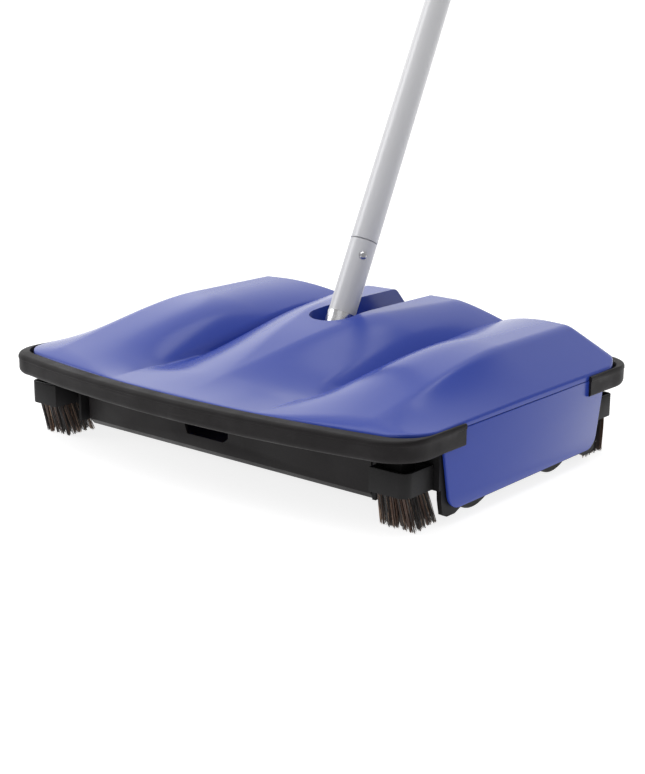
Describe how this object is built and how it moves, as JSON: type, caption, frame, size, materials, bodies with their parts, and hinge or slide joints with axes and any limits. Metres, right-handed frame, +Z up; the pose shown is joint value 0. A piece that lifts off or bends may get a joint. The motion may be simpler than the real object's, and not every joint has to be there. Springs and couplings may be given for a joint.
{
  "type": "carpet sweeper",
  "caption": "Push carpet sweeper with a humped blue cover, bumpers, corner brushes, a friction-driven brush roll, two dust pans and a long tilting handle.",
  "frame": {"origin": "on the floor under the middle of the body", "axes": "+X to the right across the sweeping width, +Y to the rear, +Z up"},
  "size_m": [0.33, 0.6418, 1.0193],
  "materials": {
    "cover_blue": "glossy moulded blue",
    "bumper_vinyl": "satin dark grey vinyl",
    "frame_black": "moulded black plastic",
    "pan_black": "moulded black plastic",
    "zinc": "bright zinc-plated steel",
    "steel": "drawn steel",
    "tube_grey": "pale grey powder-coated steel tube",
    "grip_black": "ribbed vinyl",
    "cap_black": "moulded black plastic",
    "corner_bristle": "mixed dark and tan bristle",
    "roll_bristle": "tufted bristle",
    "core_wood": "turned hardwood",
    "pulley_plastic": "moulded dark grey plastic",
    "tyre_rubber": "soft black rubber"
  },
  "bodies": {
    "base": {"top_cover": "cover_blue", "left_side_panel": "cover_blue", "right_side_panel": "cover_blue", "front_bumper": "bumper_vinyl", "rear_bumper": "bumper_vinyl", "base_frame": "frame_black", "handle_deck": "zinc", "handle_bracket": "zinc", "pivot_pin": "steel", "friction_washers": "steel", "corner_block_front_left": "frame_black", "corner_block_front_right": "frame_black", "corner_block_rear_left": "frame_black", "corner_block_rear_right": "frame_black", "corner_brush_front_left": "corner_bristle", "corner_brush_front_right": "corner_bristle", "corner_brush_rear_left": "corner_bristle", "corner_brush_rear_right": "corner_bristle", "wheel_axle_pins": "steel", "roll_bushes": "pulley_plastic", "front_pan_rod": "steel", "rear_pan_rod": "steel", "cover_screws": "steel"},
    "handle": {"handle_yoke": "zinc", "handle_socket": "tube_grey", "lower_tube": "tube_grey", "middle_tube": "tube_grey", "upper_tube": "tube_grey", "handle_grip": "grip_black", "end_cap": "cap_black"},
    "roll": {"roll_shaft": "steel", "roll_core": "core_wood", "roll_bristles": "roll_bristle", "roll_pulley_left": "pulley_plastic", "roll_pulley_right": "pulley_plastic"},
    "front_pan": {"front_dust_pan": "pan_black", "front_pan_spring": "steel"},
    "rear_pan": {"rear_dust_pan": "pan_black", "rear_pan_spring": "steel"},
    "wheel_front_left": {"wheel_hub_front_left": "pulley_plastic", "wheel_tyre_front_left": "tyre_rubber"},
    "wheel_front_right": {"wheel_hub_front_right": "pulley_plastic", "wheel_tyre_front_right": "tyre_rubber"},
    "wheel_rear_left": {"wheel_hub_rear_left": "pulley_plastic", "wheel_tyre_rear_left": "tyre_rubber"},
    "wheel_rear_right": {"wheel_hub_rear_right": "pulley_plastic", "wheel_tyre_rear_right": "tyre_rubber"},
    "button_lower": {"snap_button_lower": "steel", "snap_spring_lower": "steel"},
    "button_middle": {"snap_button_middle": "steel", "snap_spring_middle": "steel"},
    "button_upper": {"snap_button_upper": "steel", "snap_spring_upper": "steel"}
  },
  "joints": [
    {"name": "handle_tilt", "type": "hinge", "parent": "base", "child": "handle", "pos_m": [0, 0.01519, 0.066], "axis": [-1, 0, 0], "range_deg": [-35, 55]},
    {"name": "roll_spin", "type": "hinge", "parent": "base", "child": "roll", "pos_m": [0, 0, 0.027], "axis": [1, 0, 0], "continuous": true},
    {"name": "front_left_wheel_spin", "type": "hinge", "parent": "base", "child": "wheel_front_left", "pos_m": [-0.149, -0.044, 0.026], "axis": [1, 0, 0], "continuous": true},
    {"name": "front_right_wheel_spin", "type": "hinge", "parent": "base", "child": "wheel_front_right", "pos_m": [0.149, -0.044, 0.026], "axis": [1, 0, 0], "continuous": true},
    {"name": "rear_left_wheel_spin", "type": "hinge", "parent": "base", "child": "wheel_rear_left", "pos_m": [-0.149, 0.044, 0.026], "axis": [1, 0, 0], "continuous": true},
    {"name": "rear_right_wheel_spin", "type": "hinge", "parent": "base", "child": "wheel_rear_right", "pos_m": [0.149, 0.044, 0.026], "axis": [1, 0, 0], "continuous": true},
    {"name": "front_pan_open", "type": "hinge", "parent": "base", "child": "front_pan", "pos_m": [0, -0.037, 0.0145], "axis": [1, 0, 0], "range_deg": [0, 40], "stiffness_Nm_per_rad": 0.16, "springref_deg": -40.11},
    {"name": "rear_pan_open", "type": "hinge", "parent": "base", "child": "rear_pan", "pos_m": [0, 0.037, 0.0145], "axis": [-1, 0, 0], "range_deg": [0, 40], "stiffness_Nm_per_rad": 0.16, "springref_deg": -40.11},
    {"name": "lower_button_press", "type": "slide", "parent": "handle", "child": "button_lower", "axis": [-0.788, 0.5508, -0.2751], "range_m": [0, 0.0024], "stiffness_N_per_m": 700, "springref_m": -0.002},
    {"name": "middle_button_press", "type": "slide", "parent": "handle", "child": "button_middle", "axis": [-0.788, 0.5508, -0.2751], "range_m": [0, 0.0024], "stiffness_N_per_m": 700, "springref_m": -0.002},
    {"name": "upper_button_press", "type": "slide", "parent": "handle", "child": "button_upper", "axis": [-0.788, 0.5508, -0.2751], "range_m": [0, 0.0024], "stiffness_N_per_m": 700, "springref_m": -0.002}
  ],
  "couplings": [
    {"joint": "front_left_wheel_spin", "follows": "roll_spin", "ratio": -0.69039},
    {"joint": "front_right_wheel_spin", "follows": "roll_spin", "ratio": -0.69039},
    {"joint": "rear_left_wheel_spin", "follows": "roll_spin", "ratio": -0.69039},
    {"joint": "rear_right_wheel_spin", "follows": "roll_spin", "ratio": -0.69039}
  ]
}
